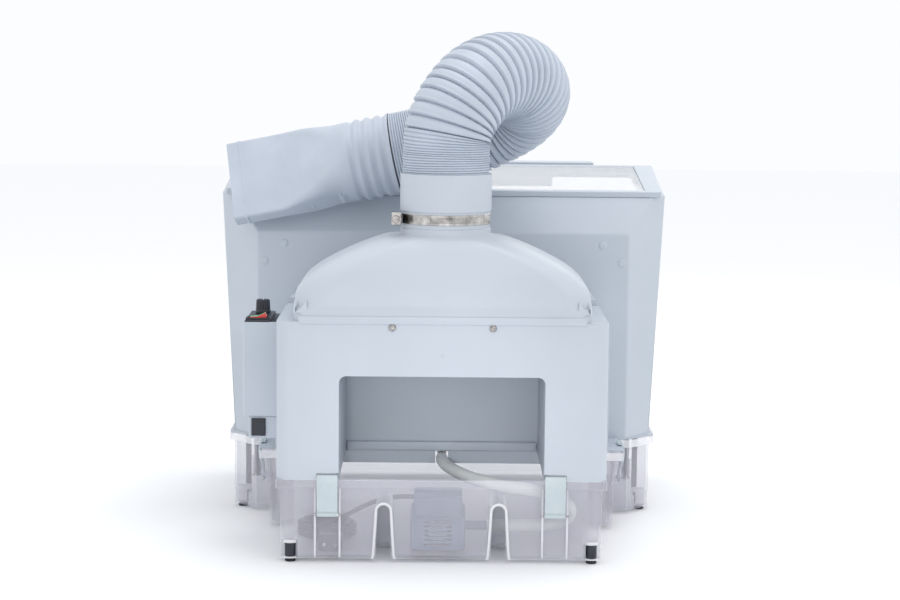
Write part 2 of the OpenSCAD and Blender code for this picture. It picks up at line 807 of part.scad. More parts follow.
module pump_body() {
    color("#6F7F97") placed() difference() {
        union() {
            translate([pump_x, pump_d + pump_l / 2, pump_z]) linear_extrude(pump_h)
                polygon(block(pump_half, pump_l / 2, 5));
            translate([pump_x, pump_d + pump_l / 2 + 6, pump_z + pump_h]) linear_extrude(16)
                polygon(block(pump_half - 3, pump_l / 2 - 10, 4));
            translate([pump_x, outlet_d, outlet_z]) rotate([0, 90, 0])
                cylinder(r = 4.5, h = 46.7, $fn = 48);
        }
        translate([pump_x, pump_d - 1, pump_z + 16]) rotate([-90, 0, 0]) cylinder(r = 13, h = 19);
        translate([pump_x + 8, outlet_d, outlet_z]) rotate([0, 90, 0])
            cylinder(r = 3, h = 46, $fn = 48);
        translate([pump_x, pump_d + 17, pump_z + 16]) rotate([-90, 0, 0])
            cylinder(r = 2.05, h = 16, $fn = 32);
    }
}

module pump_cover() {
    color("#6F7F97") placed() difference() {
        translate([0, 0, pump_z + 1]) fascia(pump_d - 6, pump_d) translate([pump_x, 14])
            polygon(block(pump_half - 2, 14, 5));
        for (i = [0:5])
            span([pump_x - 13, pump_d - 7, pump_z + 5.5 + 4.2 * i],
                [pump_x + 13, pump_d - 1.5, pump_z + 7.5 + 4.2 * i]);
        translate([pump_x, pump_d - 3, pump_z + 16]) rotate([-90, 0, 0]) cylinder(r = 13, h = 4);
    }
}

module pump_rotor() {
    color("#E8E9EC") placed() translate([pump_x, pump_d + 2, pump_z + 16]) rotate([-90, 0, 0]) {
        cylinder(r = 9, h = 2);
        for (i = [0:5])
            rotate([0, 0, 60 * i]) translate([7, 0, 5]) cube([9, 1.4, 7], center = true);
        cylinder(r = 4, h = 14, $fn = 48);
        cylinder(r = 2, h = 30, $fn = 32);
    }
}

module pump_cups() {
    color(trim_black) placed() for (x = [pump_x - 18, pump_x + 18], d = [pump_d + 10, pump_d + 56])
        translate([x, d, inner_z]) {
            cylinder(r = 6, h = 1.2, $fn = 48);
            cylinder(r = 3.5, h = pump_z - inner_z, $fn = 48);
        }
}

module water_tube() {
    color(water_white) placed() swept(tube_route, tube_r, 10, [1, 0, 0]);
}

module pump_cord() {
    color(trim_black) placed() swept(cord_route, cord_r, 8, [0, 0, 1]);
}

module pump_cord_coil() {
    color(trim_black) placed() translate([coil_x, coil_d, inner_z + 7]) rotate_extrude($fn = 64)
        translate([coil_r, 0]) square([3.2 * cord_r * 2, 14], center = true);
}

module pump_plug() {
    color(trim_black) placed() translate([-104, 30, inner_z]) {
        translate([0, 0, 8]) rotate([-90, 0, 0]) translate([0, 0, -11]) linear_extrude(22)
            polygon(block(11, 8, 3));
        for (x = [-5, 5])
            translate([x, -10, 8]) rotate([90, 0, 0]) cylinder(r = 2, h = 9, $fn = 32);
    }
}

module plug_relief() {
    color(trim_black) placed() translate([-104, 41, inner_z + 8]) rotate([-90, 0, 0])
        cylinder(r1 = 5, r2 = 3, h = 20, $fn = 48);
}

water_tank();
foot_barrels();
foot(1);  // foot_1
foot(2);  // foot_2
foot(3);  // foot_3
foot(4);  // foot_4
foot(5);  // foot_5
foot(6);  // foot_6
back_latch(-1);  // latch_back_left
back_latch(1);  // latch_back_right
side_latch(-1);  // latch_side_left
side_latch(1);  // latch_side_right
latch_pins();
fan_housing();
air_channel();
booth_hood();
top_frame();
top_window();
mouth_frame();
lamp_cover();
lamp_housing();
lamp_board();
lamp_lens();
fan_frames();
fan_rotor(-1);  // fan_rotor_left
fan_rotor(1);  // fan_rotor_right
fan_screws();
duct_dome();
dome_screws();
duct_cuff();
clamp_band();
clamp_housing();
clamp_screw();
duct_hose();
duct_nozzle();
control_box();
control_plate();
speed_knob();
speed_pot();
speed_board();
rocker_frame();
rocker_button();
power_socket();
socket_bracket();
curtain_plate();
water_trough();
riser_pipe();
work_grille();
grille_feet();
pump_body();
pump_cover();
pump_rotor();
pump_cups();
water_tube();
pump_cord();
pump_cord_coil();
pump_plug();
plug_relief();
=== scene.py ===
import json
import math

import bmesh
import bpy
from mathutils import Matrix, Vector


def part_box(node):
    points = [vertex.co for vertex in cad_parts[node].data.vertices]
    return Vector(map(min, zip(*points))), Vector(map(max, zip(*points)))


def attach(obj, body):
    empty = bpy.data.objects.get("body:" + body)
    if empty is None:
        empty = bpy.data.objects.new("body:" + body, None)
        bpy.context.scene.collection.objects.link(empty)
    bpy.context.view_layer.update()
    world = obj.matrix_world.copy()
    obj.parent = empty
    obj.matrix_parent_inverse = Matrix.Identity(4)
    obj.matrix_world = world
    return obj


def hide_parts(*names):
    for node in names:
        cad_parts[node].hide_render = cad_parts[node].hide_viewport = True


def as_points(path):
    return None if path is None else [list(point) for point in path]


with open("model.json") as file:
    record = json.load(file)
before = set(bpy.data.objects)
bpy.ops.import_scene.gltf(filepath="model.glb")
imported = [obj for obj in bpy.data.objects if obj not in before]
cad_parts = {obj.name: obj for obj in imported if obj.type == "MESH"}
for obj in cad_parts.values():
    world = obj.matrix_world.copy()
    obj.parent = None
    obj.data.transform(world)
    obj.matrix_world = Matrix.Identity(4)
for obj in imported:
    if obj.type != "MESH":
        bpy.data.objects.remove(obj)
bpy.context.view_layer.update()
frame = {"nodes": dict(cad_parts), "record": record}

nodes = frame["nodes"]
mm = 0.001
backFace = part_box("latch_back_left")[0].y  # outer face of the back latches, where depths start


def at(x, depth, z):  # a point from width, depth and height in millimetres
    return Vector((x * mm, backFace + depth * mm, z * mm))


# ---------- camera, floor and light

cameraView = {
    "lens": 84.06, "place": (0.0003, -2.1367, 0.468), "pitch": 6.53, "yaw": 0.184, "roll": 0.53,
}
camera = bpy.data.objects.new("camera", bpy.data.cameras.new("camera"))
bpy.context.scene.collection.objects.link(camera)
camera.data.lens = cameraView["lens"]
camera.data.sensor_width = 36
camera.data.clip_end = 50
turn = (Matrix.Rotation(math.radians(-cameraView["yaw"]), 4, "Z")
        @ Matrix.Rotation(math.radians(90 - cameraView["pitch"]), 4, "X")
        @ Matrix.Rotation(math.radians(cameraView["roll"]), 4, "Z"))
camera.matrix_world = Matrix.Translation(cameraView["place"]) @ turn
bpy.context.scene.camera = camera
bpy.context.scene.view_settings.view_transform = "Standard"

studio = {
    "world": 1.0,
    "lights": [  # name, place, aim, size, watts, colour
        ("keyLight", (1.3, -1.6, 1.7), (0, 0, 0.2), 0.9, 4.0, "#FFFEFC"),
        ("fillLight", (-0.3, -2.5, 0.4), (0, 0, 0.12), 0.7, 0.8, "#FFFFFF"),
        ("topLight", (0.2, 0.1, 2.2), (0, 0, 0.2), 1.0, 9.0, "#FFFFFF"),
        ("rimLight", (0.9, 1.9, 1.2), (0, 0, 0.3), 1.2, 3.0, "#FFFFFF"),
    ],
    "snoot": ((-0.1, -2.4, 0.42), (0, -0.1, 0.1), 6.4, 62.0),  # place, aim, cone in degrees, watts
}


def linear(hexColour):  # sRGB hex to linear light
    parts = [int(hexColour[i:i + 2], 16) / 255 for i in (1, 3, 5)]
    return [c / 12.92 if c <= 0.04045 else ((c + 0.055) / 1.055) ** 2.4 for c in parts]


def addNode(tree, kind, links=(), **settings):
    # links: (input name, socket that feeds it); a setting named as an input sets that input
    made = tree.nodes.new(kind)
    for name, value in settings.items():
        if name in made.inputs.keys():
            made.inputs[name].default_value = value
        elif name[0] == "i" and name[1:].isdigit():
            made.inputs[int(name[1:])].default_value = value
        else:
            setattr(made, name, value)
    for name, socket in links:
        tree.links.new(socket, made.inputs[name])
    return made


world = bpy.data.worlds.new("studio")
bpy.context.scene.world = world
world.use_nodes = True
world.node_tree.nodes["Background"].inputs["Color"].default_value = (*linear("#FCFDFF"), 1)
world.node_tree.nodes["Background"].inputs["Strength"].default_value = studio["world"]
for name, place, aim, size, watts, colour in studio["lights"]:
    lamp = bpy.data.objects.new(name, bpy.data.lights.new(name, "AREA"))
    bpy.context.scene.collection.objects.link(lamp)
    lamp.data.shape = "DISK"
    lamp.data.size = size
    lamp.data.energy = watts
    lamp.data.color = linear(colour)
    lamp.location = place
    lamp.rotation_euler = (Vector(aim) - Vector(place)).to_track_quat("-Z", "Y").to_euler()
place, aim, cone, watts = studio["snoot"]  # a narrow beam that opens up the bay's shadow
snoot = bpy.data.objects.new("bayLight", bpy.data.lights.new("bayLight", "SPOT"))
bpy.context.scene.collection.objects.link(snoot)
snoot.data.spot_size = math.radians(cone)
snoot.data.spot_blend = 1.0
snoot.data.shadow_soft_size = 0.12
snoot.data.energy = watts
snoot.location = place
snoot.rotation_euler = (Vector(aim) - Vector(place)).to_track_quat("-Z", "Y").to_euler()
print("studio ready")


# ---------- materials

def newMaterial(name, colour, roughness, **sockets):
    made = bpy.data.materials.new(name)
    made.use_nodes = True
    shader = made.node_tree.nodes["Principled BSDF"]
    shader.inputs["Base Color"].default_value = (*linear(colour), 1)
    shader.inputs["Roughness"].default_value = roughness
    for socket, value in sockets.items():
        shader.inputs[socket.replace("_", " ")].default_value = value
    made.diffuse_color = (*linear(colour), sockets.get("Alpha", 1))
    return made, made.node_tree, shader


def colourDrift(tree, shader, dark, light, sizeMm, detail=3):
    # slow change between two tones, as wide as sizeMm
    place = addNode(tree, "ShaderNodeTexCoord")
    cloud = addNode(tree, "ShaderNodeTexNoise", [("Vector", place.outputs["Object"])],
                    Scale=1000 / sizeMm, Detail=detail, Roughness=0.55)
    tones = addNode(tree, "ShaderNodeMapRange", [("Value", cloud.outputs["Fac"])],
                    i1=0.3, i2=0.7)
    mix = addNode(tree, "ShaderNodeMix", [("Factor", tones.outputs["Result"])], data_type="RGBA")
    mix.inputs[6].default_value = (*linear(dark), 1)
    mix.inputs[7].default_value = (*linear(light), 1)
    tree.links.new(mix.outputs[2], shader.inputs["Base Color"])
    return place


def grain(tree, shader, place, sizeMm, heightMm, low, high):
    # fine surface texture as bump, with the gloss broken by the same grain
    fine = addNode(tree, "ShaderNodeTexNoise", [("Vector", place.outputs["Object"])],
                   Scale=1000 / sizeMm, Detail=2, Roughness=0.6)
    bump = addNode(tree, "ShaderNodeBump", [("Height", fine.outputs["Fac"])],
                   Strength=0.5, Distance=heightMm * mm)
    tree.links.new(bump.outputs["Normal"], shader.inputs["Normal"])
    gloss = addNode(tree, "ShaderNodeMapRange", [("Value", fine.outputs["Fac"])],
                    i1=0.35, i2=0.65, i3=low, i4=high)
    tree.links.new(gloss.outputs["Result"], shader.inputs["Roughness"])
    return bump


def mouldedAbs():  # satin moulded ABS: soft wide highlights, a faint cool drift in the tone
    made, tree, shader = newMaterial("mouldedAbs", "#BFC7D0", 0.42, IOR=1.53)
    place = colourDrift(tree, shader, "#BBC4CD", "#C3CAD4", 160)
    grain(tree, shader, place, 0.9, 0.03, 0.38, 0.47)  # real grain is 0.2 mm, drawn coarser to show
    return made


def blowMouldedDuct():  # blow-moulded soft polymer: duller than the shells, scuffed on its folds
    made, tree, shader = newMaterial("blowMouldedDuct", "#BCC5D1", 0.5, IOR=1.5)
    place = colourDrift(tree, shader, "#B8C1CD", "#C2CAD6", 45)
    grain(tree, shader, place, 0.8, 0.04, 0.42, 0.56)
    return made


def acetalClip():  # moulded acetal: slightly greener and waxier than the shells
    made, tree, shader = newMaterial("acetalClip", "#BDC9CE", 0.36, IOR=1.48)
    place = colourDrift(tree, shader, "#B9C5CA", "#C3CDD2", 22)
    grain(tree, shader, place, 0.7, 0.02, 0.32, 0.42)
    return made


def frostedPolypropylene(name, colour, light, alpha):  # milky see-through tank: hazy, soft gloss
    made, tree, shader = newMaterial(name, colour, 0.3, IOR=1.49, Alpha=alpha)
    place = colourDrift(tree, shader, colour, light, 70)
    grain(tree, shader, place, 1.1, 0.05, 0.24, 0.4)
    return made


def castAcrylic():  # clear sheet: nearly invisible, shown by its gloss and bright edges
    made, tree, shader = newMaterial("castAcrylic", "#F2F5F8", 0.05, IOR=1.49, Alpha=0.45)
    place = colourDrift(tree, shader, "#EEF2F6", "#F6F8FA", 60)
    grain(tree, shader, place, 30, 0.02, 0.03, 0.09)  # slow waves of the sheet
    return made


def opalDiffuser():  # opal acrylic over the lamp: even, white, soft gloss
    made, tree, shader = newMaterial("opalDiffuser", "#F3F5F8", 0.3, IOR=1.49, Alpha=0.85)
    place = colourDrift(tree, shader, "#EFF2F6", "#F7F8FA", 50)
    grain(tree, shader, place, 2, 0.02, 0.26, 0.36)
    return made


def blackAbs():  # fine textured black plastic: dark with a grey sheen on its edges
    made, tree, shader = newMaterial("blackAbs", "#262933", 0.38, IOR=1.53)
    place = colourDrift(tree, shader, "#20232C", "#2D303B", 14)
    grain(tree, shader, place, 0.5, 0.04, 0.3, 0.5)
    return made


def blackRubber():  # moulded rubber: deep matte black, dusty in places
    made, tree, shader = newMaterial("blackRubber", "#1E2027", 0.7, IOR=1.52)
    place = colourDrift(tree, shader, "#191B21", "#2A2C34", 9)
    grain(tree, shader, place, 0.6, 0.05, 0.62, 0.8)
    return made


def nickelPlate():  # bright nickel plate on screws and the worm gear: mirror-like, warm; its tones are set darker than bare nickel, painted dark reflection over the plate's own colour
    made, tree, shader = newMaterial("nickelPlate", "#A8A4A2", 0.14, Metallic=1.0)
    # the darker of the two tones is painted dark reflection; the lighter is the nickel's own warm grey
    place = colourDrift(tree, shader, "#8E8A88", "#C6C2BF", 2.5)
    grain(tree, shader, place, 0.5, 0.01, 0.12, 0.24)
    return made


def rolledStainless():  # rolled stainless sheet: fine lines along the roll that stretch its highlights; its darker tones are painted dark reflection over the steel's own grey
    made, tree, shader = newMaterial("rolledStainless", "#B8B5B4", 0.25, Metallic=1.0)
    # the darker of the two tones is painted dark reflection; the lighter is the steel's own grey
    place = colourDrift(tree, shader, "#96938F", "#DAD7D5", 9)
    stretch = addNode(tree, "ShaderNodeMapping", [("Vector", place.outputs["Object"])])
    stretch.inputs["Scale"].default_value = (0.05, 0.05, 1)  # lines lie level
    lines = addNode(tree, "ShaderNodeTexNoise", [("Vector", stretch.outputs["Vector"])],
                    Scale=1000 / 0.5, Detail=2)
    bump = addNode(tree, "ShaderNodeBump", [("Height", lines.outputs["Fac"])],
                   Strength=0.4, Distance=0.02 * mm)
    tree.links.new(bump.outputs["Normal"], shader.inputs["Normal"])
    return made


def milkySilicone():  # milky silicone tube: soft, waxy, light passes into it
    made, tree, shader = newMaterial("milkySilicone", "#E6E7E3", 0.4, IOR=1.41)
    shader.inputs["Subsurface Weight"].default_value = 0.25
    shader.inputs["Subsurface Radius"].default_value = (0.004, 0.004, 0.0035)
    place = colourDrift(tree, shader, "#DFE2DF", "#ECECE8", 20)
    grain(tree, shader, place, 1.5, 0.03, 0.34, 0.48)
    return made


def pumpPlastic():  # glass-filled moulded plastic of the pump: blue-grey, matte
    made, tree, shader = newMaterial("pumpPlastic", "#4E6482", 0.5, IOR=1.53)
    place = colourDrift(tree, shader, "#465B78", "#586E8C", 16)
    grain(tree, shader, place, 0.6, 0.05, 0.42, 0.58)
    return made


def rockerRed():  # glossy translucent red polycarbonate of the rocker
    made, tree, shader = newMaterial("rockerRed", "#E23B30", 0.2, IOR=1.58)
    place = colourDrift(tree, shader, "#D93229", "#EE4A3C", 5)
    grain(tree, shader, place, 1, 0.01, 0.16, 0.26)
    return made


def rockerGreen():  # green insert along the rocker's top
    made, tree, shader = newMaterial("rockerGreen", "#1FA463", 0.22, IOR=1.58)
    place = colourDrift(tree, shader, "#1A9659", "#2AB36F", 5)
    grain(tree, shader, place, 1, 0.01, 0.18, 0.28)
    return made


def solderMask():  # green solder mask over copper and glass laminate
    made, tree, shader = newMaterial("solderMask", "#2E6B45", 0.35, IOR=1.5)
    place = colourDrift(tree, shader, "#276040", "#38784F", 3, 1)
    grain(tree, shader, place, 0.8, 0.03, 0.28, 0.42)
    return made


def whiteInk():  # printed pointer line
    made, tree, shader = newMaterial("whiteInk", "#E9EAEC", 0.55)
    colourDrift(tree, shader, "#DFE1E4", "#F2F3F4", 2)
    return made


def studioFloor():  # matte pale paper sweep
    return newMaterial("studioFloor", "#FBFCFD", 0.9)[0]


shellAbs, ductPlastic, clipAcetal = mouldedAbs(), blowMouldedDuct(), acetalClip()
tankSheet = frostedPolypropylene("frostedPolypropylene", "#E2E1EE", "#ECEBF4", 0.24)
tankEdge = frostedPolypropylene("thickPolypropylene", "#F3F2F8", "#F8F8FB", 0.72)
clearSheet, opalSheet, blackShell, softRubber = castAcrylic(), opalDiffuser(), blackAbs(), blackRubber()
nickelWithPaintedReflection, stainlessWithPaintedReflection, tubeSilicone = nickelPlate(), rolledStainless(), milkySilicone()
pumpBody, redLens, greenLens = pumpPlastic(), rockerRed(), rockerGreen()
boardMask, dialInk = solderMask(), whiteInk()
print("materials ready")

bpy.ops.mesh.primitive_plane_add(size=14, location=(0, 0, 0))
floor = bpy.context.object
floor.name = "floor"
floor.data.materials.append(studioFloor())


# ---------- shared ways to make a piece

def addPiece(name, mesh, material, body="root", slot=None, replaces=(), crease=35):
    made = bpy.data.objects.new(name, mesh)
    bpy.context.scene.collection.objects.link(made)
    for one in (material if isinstance(material, list) else [material]):
        mesh.materials.append(one)
    mesh.shade_smooth()
    mesh.set_sharp_from_angle(angle=math.radians(crease))
    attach(made, body)
    if replaces:
        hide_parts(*replaces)
    return made


def weighNormals(made):
    # wide faces keep their own normal, so that only the rounded edges bend the light
    weights = made.modifiers.new("weights", "WEIGHTED_NORMAL")
    weights.keep_sharp = True
    weights.weight = 100
    graph = bpy.context.evaluated_depsgraph_get()
    made.data = bpy.data.meshes.new_from_object(made.evaluated_get(graph), preserve_all_data_layers=True,
                                                depsgraph=graph)
    made.modifiers.clear()
    return made


def meshFrom(name, points, faces, weld=True):
    build = bmesh.new()
    corners = [build.verts.new(p) for p in points]
    for face in faces:
        build.faces.new([corners[i] for i in face])
    if weld:
        bmesh.ops.remove_doubles(build, verts=build.verts, dist=2e-6)
        bmesh.ops.dissolve_degenerate(build, edges=build.edges, dist=1e-6)
    bmesh.ops.recalc_face_normals(build, faces=build.faces)
    mesh = bpy.data.meshes.new(name)
    build.to_mesh(mesh)
    build.free()
    return mesh


def loftMesh(name, rings, capStart=True, capEnd=True, closed=False):
    # joins rings of equal point count; closed also joins the last ring to the first
    count = len(rings[0])
    points = [p for ring in rings for p in ring]
    faces = []
    spans = len(rings) if closed else len(rings) - 1
    for i in range(spans):
        a, b = i * count, (i + 1) % len(rings) * count
        for j in range(count):
            k = (j + 1) % count
            faces.append([a + j, a + k, b + k, b + j])
    if capStart and not closed:
        faces.append(list(range(count))[::-1])
    if capEnd and not closed:
        faces.append([(len(rings) - 1) * count + j for j in range(count)])
    return meshFrom(name, points, faces)


def turned(name, outline, centre, axis=(0, 0, 1), count=48):
    # a lathe profile of (radius, height) points in mm round an axis through centre
    spin = Vector(axis).to_track_quat("Z", "Y").to_matrix()
    rings = []
    for radius, height in outline:
        rings.append([Vector(centre) + spin @ Vector((radius * math.cos(2 * math.pi * j / count) * mm,
                                                       radius * math.sin(2 * math.pi * j / count) * mm,
                                                       height * mm)) for j in range(count)])
    return loftMesh(name, rings)


def softCopy(name, cadNode, rules, material, slot, body="root", crease=35):
    # a CAD node's shape with its edges rounded: each rule is (radius mm, segments, test of an edge)
    source = nodes[cadNode]
    build = bmesh.new()
    build.from_mesh(source.data)
    bmesh.ops.remove_doubles(build, verts=build.verts, dist=2e-6)
    bmesh.ops.dissolve_limit(build, angle_limit=math.radians(0.5), verts=build.verts, edges=build.edges)
    for radius, segments, test in rules:
        chosen = [e for e in build.edges if len(e.link_faces) == 2
                  and e.calc_face_angle(0) > math.radians(25) and e.calc_length() > 1.2 * radius * mm
                  and test((e.verts[0].co + e.verts[1].co) / 2, e)]
        if chosen:
            bmesh.ops.bevel(build, geom=chosen, offset=radius * mm, segments=segments, profile=0.5,
                            affect="EDGES", clamp_overlap=True, offset_type="OFFSET")
    bmesh.ops.remove_doubles(build, verts=build.verts, dist=2e-6)
    bmesh.ops.dissolve_degenerate(build, edges=build.edges, dist=1e-6)
    mesh = bpy.data.meshes.new(name)
    build.to_mesh(mesh)
    build.free()
    return weighNormals(addPiece(name, mesh, material, body, slot, (cadNode,), crease))


def anyEdge(middle, edge):
    return edge.is_convex


def smoothLine(points, step):
    # an even chain of points along a Catmull-Rom curve through the given ones
    ends = [points[0] * 2 - points[1]] + points + [points[-1] * 2 - points[-2]]
    dense = []
    for i in range(1, len(ends) - 2):
        a, b, c, d = ends[i - 1:i + 3]
        for k in range(24):
            t = k / 24
            dense.append(0.5 * (2 * b + (c - a) * t + (2 * a - 5 * b + 4 * c - d) * t * t
                                + (3 * b - a - 3 * c + d) * t ** 3))
    dense.append(points[-1].copy())
    runs = [0.0]
    for a, b in zip(dense, dense[1:]):
        runs.append(runs[-1] + (b - a).length)
    count = max(2, round(runs[-1] / step))
    even, i = [], 0
    for k in range(count + 1):
        want = runs[-1] * k / count
        while i < len(runs) - 2 and runs[i + 1] < want:
            i += 1
        part = (want - runs[i]) / max(1e-12, runs[i + 1] - runs[i])
        even.append(dense[i].lerp(dense[i + 1], part))
    return even, runs[-1]


def framesAlong(line, up):
    # side and rise vectors that turn as little as they can along the line
    side, frames = Vector(up), []
    for i, p in enumerate(line):
        ahead = (line[min(i + 1, len(line) - 1)] - line[max(i - 1, 0)]).normalized()
        side = (side - ahead * side.dot(ahead)).normalized()
        frames.append((p, ahead, side, ahead.cross(side)))
    return frames


def curvePiece(name, line, radius, material, body="root", replaces=()):
    curve = bpy.data.curves.new(name, "CURVE")
    curve.dimensions = "3D"
    curve.bevel_depth = radius
    curve.bevel_resolution = 6
    curve.use_fill_caps = True
    spline = curve.splines.new("POLY")
    spline.points.add(len(line) - 1)
    for point, p in zip(spline.points, line):
        point.co = (*p, 1)
    spline.use_smooth = True
    made = bpy.data.objects.new(name, curve)
    bpy.context.scene.collection.objects.link(made)
    curve.materials.append(material)
    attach(made, body)
    if replaces:
        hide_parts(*replaces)
    return made


def boxRing(x, y, r, count=6, grow=0.0):
    # corners of a rounded rectangle of half sizes x and y, as (x, y) pairs by turning normal
    ring = []
    for q, (sx, sy) in enumerate([(1, 1), (-1, 1), (-1, -1), (1, -1)]):
        for j in range(count + 1):
            turnAngle = math.pi / 2 * (q + j / count)
            ring.append((sx * (x - r) + (r + grow) * math.cos(turnAngle),
                         sy * (y - r) + (r + grow) * math.sin(turnAngle)))
    return ring


def roundedSlab(name, low, high, radius, material, slot, segments=3):
    # a block between two corners in mm (width, depth, height) with rounded edges
    build = bmesh.new()
    bmesh.ops.create_cube(build, size=1)
    a, b = at(*low), at(*high)
    for v in build.verts:
        v.co = Vector(((a.x + b.x) / 2 + v.co.x * (b.x - a.x), (a.y + b.y) / 2 + v.co.y * (b.y - a.y),
                       (a.z + b.z) / 2 + v.co.z * (b.z - a.z)))
    bmesh.ops.bevel(build, geom=build.edges[:], offset=radius * mm, segments=segments, profile=0.5,
                    affect="EDGES", clamp_overlap=True)
    mesh = bpy.data.meshes.new(name)
    build.to_mesh(mesh)
    build.free()
    return addPiece(name, mesh, material, slot=slot)


# ---------- duct, nozzle and the cords in the tank

duct = {
    "route": [  # width, depth and height of its centreline where it is free
        (2, 75, 361), (2, 75, 378), (3, 75, 396), (8, 77, 413), (17, 82, 428), (28, 90, 441),
        (41, 103, 449.5), (54, 118, 453), (67, 135, 452), (77, 152, 446), (82, 170, 437.5),
        (81, 187, 429), (74, 200, 419), (60, 210, 409), (43, 215, 400), (24, 217, 392),
        (5, 217, 386), (-14, 216.5, 381), (-32, 216, 376.5), (-49, 216.1, 372.8),
    ],
    "radius": 41.9, "hiddenRadius": 31.5, "startZ": 283, "inNozzle": 62,
    "closePitch": 2.3, "openPitch": 8.4, "closeDepth": 1.6, "openDepth": 4.2,
    "closeRun": 37, "endRun": 52, "sides": 112,
}
nozzle = {
    "start": (-49.1, 216.1, 372.7), "heading": -3.75, "dip": -101.3, "roll": 28,
    "round": 45, "length": 170.5, "radius": 41.5, "wall": 2.0,
    "sections": [  # station, half width, half thickness and corner radius
        (45, 40.6, 40.6, 40.6), (58, 38, 33, 26), (90, 40.2, 20.5, 8), (121, 43, 9, 2.5),
    ],
}
nozzleTurn = (Matrix.Rotation(math.radians(nozzle["heading"]), 4, "Z")
              @ Matrix.Rotation(math.radians(nozzle["dip"]), 4, "Y"))
nozzlePlace = Matrix.Translation(at(*nozzle["start"])) @ nozzleTurn
nozzleAhead = (nozzleTurn @ Vector((0, 0, 1))).normalized()


def ductLine():
    free = [at(*p) for p in duct["route"]]
    before = [at(2, 75, z) for z in (duct["startZ"], 308, 325, 342)]
    after = [free[-1] + nozzleAhead * reach * mm for reach in (20, 40, 60, duct["inNozzle"])]
    return before, free, after


def ductStations(freeStart, freeEnd, length):
    # (place along the centreline, radius) in mm: close folds near both ends, open ones between
    fold = [(0, 1), (0.14, 0.55), (0.3, 0.12), (0.5, 0), (0.7, 0.12), (0.86, 0.55)]
    pleat = [(0, 1), (0.035, 0.82), (0.075, 0.42), (0.12, 0.1), (0.16, -0.1), (0.2, -0.06), (0.25, 0.07),
             (0.36, 0.02), (0.5, 0), (0.64, 0.05), (0.76, 0.14), (0.86, 0.32), (0.94, 0.62), (0.975, 0.86)]
    stations = [(s, duct["hiddenRadius"]) for s in (0, 10, 20, 30, 40, 50, 60) if s < freeStart - 0.6]
    stations.append((freeStart - 0.4, duct["hiddenRadius"]))
    closeEnd, openEnd = freeStart + duct["closeRun"], freeEnd - duct["endRun"]
    runs = [(freeStart, closeEnd, duct["closePitch"], fold, duct["closeDepth"]),
            (closeEnd, openEnd, duct["openPitch"], pleat, duct["openDepth"]),
            (openEnd, freeEnd, duct["closePitch"], fold, duct["closeDepth"])]
    for start, end, pitch, shape, depth in runs:
        count = round((end - start) / pitch)
        for k in range(count):
            for phase, drop in shape:
                stations.append((start + (end - start) * (k + phase) / count,
                                 duct["radius"] - 0.5 - depth * drop))
    stations.append((freeEnd, duct["hiddenRadius"]))
    s = freeEnd + 8
    while s < length:
        stations.append((s, duct["hiddenRadius"]))
        s += 8
    stations.append((length, duct["hiddenRadius"]))
    return stations


def makeDuct():
    before, free, after = ductLine()
    line, length = smoothLine(before + free + after, 0.8 * mm)
    _, inNozzle = smoothLine(free[-1:] + after, mm)
    freeStart = duct["route"][0][2] - duct["startZ"] - 1.0
    freeEnd = length / mm - inNozzle / mm + 0.5
    frames = framesAlong(line, (1, 0, 0))
    rings = []
    step = length / mm / (len(line) - 1)
    for s, radius in ductStations(freeStart, freeEnd, length / mm):
        i = min(len(line) - 2, int(s / step))
        part = min(1.0, s / step - i)
        middle = frames[i][0].lerp(frames[i + 1][0], part)
        side = frames[i][2].lerp(frames[i + 1][2], part).normalized()
        rise = frames[i][3].lerp(frames[i + 1][3], part).normalized()
        rings.append([middle + radius * mm * (math.cos(a) * side + math.sin(a) * rise)
                      for a in [2 * math.pi * j / duct["sides"] for j in range(duct["sides"])]])
    path = [p for i, p in enumerate(line) if i % 6 == 0 or i == len(line) - 1]
    made = addPiece("flexible_duct", loftMesh("flexible_duct", rings), ductPlastic, slot="duct_plastic",
                    replaces=("duct_hose",), crease=75)
    return made, path, length


def nozzleRing(t, inset=0.0, swell=0.0):
    # section of the nozzle at t mm: round collar, narrower neck, flat mouth
    table = nozzle["sections"]
    x, y, r = table[0][1:] if t <= table[0][0] else table[-1][1:]
    for low, high in zip(table, table[1:]):
        if low[0] < t < high[0]:
            part = (t - low[0]) / (high[0] - low[0])
            ease = 0.5 * part + 0.5 * part * part * (3 - 2 * part)
            x, y, r = [a + (b - a) * ease for a, b in zip(low[1:], high[1:])]
    if t <= nozzle["round"]:
        x = y = r = nozzle["radius"] - 0.9 * max(0.0, (t - nozzle["round"] + 8) / 8)
    rho = r - inset + swell
    ring = []
    for q, (sx, sy) in enumerate([(1, 1), (-1, 1), (-1, -1), (1, -1)]):
        for j in range(13):
            a = math.pi / 2 * (q + j / 12)
            ring.append((sx * (x - r) + rho * math.cos(a), sy * (y - r) + rho * math.sin(a)))
    roll = math.radians(nozzle["roll"])
    return [nozzlePlace @ Vector(((u * math.cos(roll) - v * math.sin(roll)) * mm,
                                  (u * math.sin(roll) + v * math.cos(roll)) * mm, t * mm))
            for u, v in ring]


